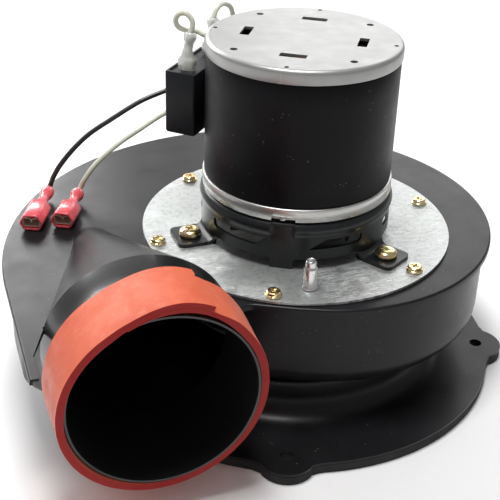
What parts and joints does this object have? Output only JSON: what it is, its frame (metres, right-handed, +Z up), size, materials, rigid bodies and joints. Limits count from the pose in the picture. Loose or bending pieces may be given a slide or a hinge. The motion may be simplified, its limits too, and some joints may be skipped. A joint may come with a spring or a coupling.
{
  "type": "combustion fan",
  "caption": "Furnace draft inducer: vertical ventilated motor on a snail-shaped sheet-metal blower with a round flange and a side outlet banded in silicone.",
  "frame": {"origin": "centre of the bounding box at the gasket's underside", "axes": "+Z up along the motor's axis, -Y out of the round outlet, +X to the right of it"},
  "size_m": [0.232, 0.214, 0.1648],
  "materials": {
    "band_zinc": "zinc plated, satin",
    "bright_steel": "bright plated steel",
    "cage_black": "semi-gloss black paint",
    "cap_grey": "light zinc grey, matte",
    "case_black": "black moulded case",
    "clear_nylon": "clear nylon insulator",
    "copper_enamel": "enamelled copper wire",
    "fan_black": "black moulded plastic",
    "foam_black": "closed-cell foam, matte black",
    "galvanised": "bright galvanised sheet with fine scratches",
    "lead_black": "black PVC wire insulation",
    "lead_white": "white PVC wire insulation",
    "outlet_black": "glossy black paint",
    "painted_charcoal": "satin charcoal paint on pressed steel",
    "red_nylon": "translucent red nylon",
    "rotor_aluminium": "die-cast aluminium and steel rotor",
    "rubber_black": "black rubber",
    "shell_black": "satin black paint",
    "silicon_steel": "laminated electrical steel",
    "silicone_red": "orange-red silicone",
    "tinned_brass": "tinned brass",
    "wheel_zinc": "galvanised sheet",
    "yellow_zinc": "yellow zinc plating"
  },
  "bodies": {
    "housing": {"black_lead": "lead_black", "black_receptacle": "tinned_brass", "black_terminal": "red_nylon", "capacitor_bracket": "galvanised", "capacitor_lead_1": "lead_white", "capacitor_lead_2": "lead_white", "capacitor_terminal_1": "clear_nylon", "capacitor_terminal_2": "clear_nylon", "flange_gasket": "foam_black", "inlet_flange": "painted_charcoal", "lead_grommet": "rubber_black", "lower_band": "band_zinc", "lower_bearing": "bright_steel", "motor_cage": "cage_black", "motor_plate": "galvanised", "motor_shell": "shell_black", "mount_screw_1": "yellow_zinc", "mount_screw_2": "yellow_zinc", "mount_screw_3": "yellow_zinc", "outlet_collar": "outlet_black", "outlet_seal_strip": "silicone_red", "plate_screw_1": "yellow_zinc", "plate_screw_2": "yellow_zinc", "plate_screw_3": "yellow_zinc", "plate_screw_4": "yellow_zinc", "plate_screw_5": "yellow_zinc", "plate_screw_6": "yellow_zinc", "pressure_tap": "bright_steel", "run_capacitor": "case_black", "scroll_cover": "painted_charcoal", "scroll_housing": "painted_charcoal", "shaft_seal": "galvanised", "stator_core": "silicon_steel", "stator_winding_lower": "copper_enamel", "stator_winding_upper": "copper_enamel", "top_cap": "cap_grey", "upper_bearing": "bright_steel", "white_lead": "lead_white", "white_receptacle": "tinned_brass", "white_terminal": "red_nylon"},
    "rotor": {"rotor_shaft": "bright_steel", "rotor_core": "rotor_aluminium", "cooling_fan": "fan_black", "impeller": "wheel_zinc", "impeller_hub": "bright_steel"}
  },
  "joints": [
    {"name": "rotor_spin", "type": "hinge", "parent": "housing", "child": "rotor", "pos_m": [0.0186, -0.00755, 0.1], "axis": [0, 0, 1], "continuous": true}
  ]
}
